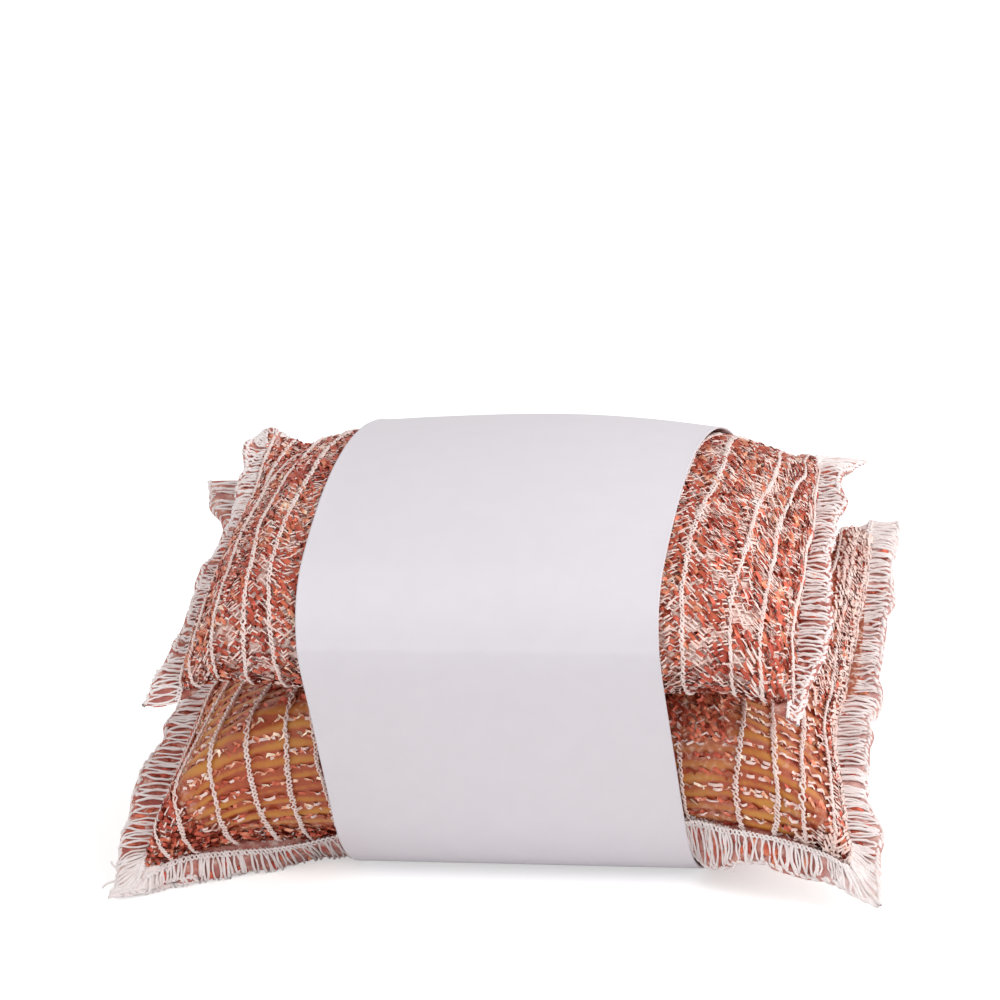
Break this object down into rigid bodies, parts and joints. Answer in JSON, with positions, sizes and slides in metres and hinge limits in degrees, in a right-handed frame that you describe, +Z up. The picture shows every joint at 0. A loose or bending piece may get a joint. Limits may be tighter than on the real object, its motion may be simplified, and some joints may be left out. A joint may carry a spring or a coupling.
{
  "type": "pot scrubber",
  "caption": "Pack of metal-knit covered foam scrubbing sponges, stacked and held together by a plain paper band; each sponge can be pulled out of the band endways.",
  "frame": {"origin": "on the surface the pack lies on, under the middle of the paper band", "axes": "+X along the sponges to the right as seen from the front, +Y to the back, +Z up"},
  "size_m": [0.1236, 0.0928, 0.071],
  "materials": {
    "foam": "matt open-cell foam",
    "inner_knit": "knitted copper ribbon and thread",
    "outer_knit": "knitted copper ribbon with white rib threads",
    "seam": "overlocked edge in white thread",
    "paper": "smooth uncoated label paper",
    "glue": "dried label glue"
  },
  "bodies": {
    "band": {"paper_band": "paper", "band_glue": "glue"},
    "upper_sponge": {"upper_foam_core": "foam", "upper_inner_knit": "inner_knit", "upper_outer_knit": "outer_knit", "upper_left_seam": "seam", "upper_right_seam": "seam", "upper_long_seam": "seam"},
    "lower_sponge": {"lower_foam_core": "foam", "lower_inner_knit": "inner_knit", "lower_outer_knit": "outer_knit", "lower_left_seam": "seam", "lower_right_seam": "seam", "lower_long_seam": "seam"}
  },
  "joints": [
    {"name": "upper_pull", "type": "slide", "parent": "band", "child": "upper_sponge", "axis": [1, 0, 0], "range_m": [0, 0.088], "deforming": ["upper_left_seam", "upper_right_seam", "upper_long_seam"]},
    {"name": "lower_pull", "type": "slide", "parent": "band", "child": "lower_sponge", "axis": [-1, 0, 0], "range_m": [0, 0.088], "deforming": ["lower_left_seam", "lower_right_seam", "lower_long_seam"]}
  ]
}
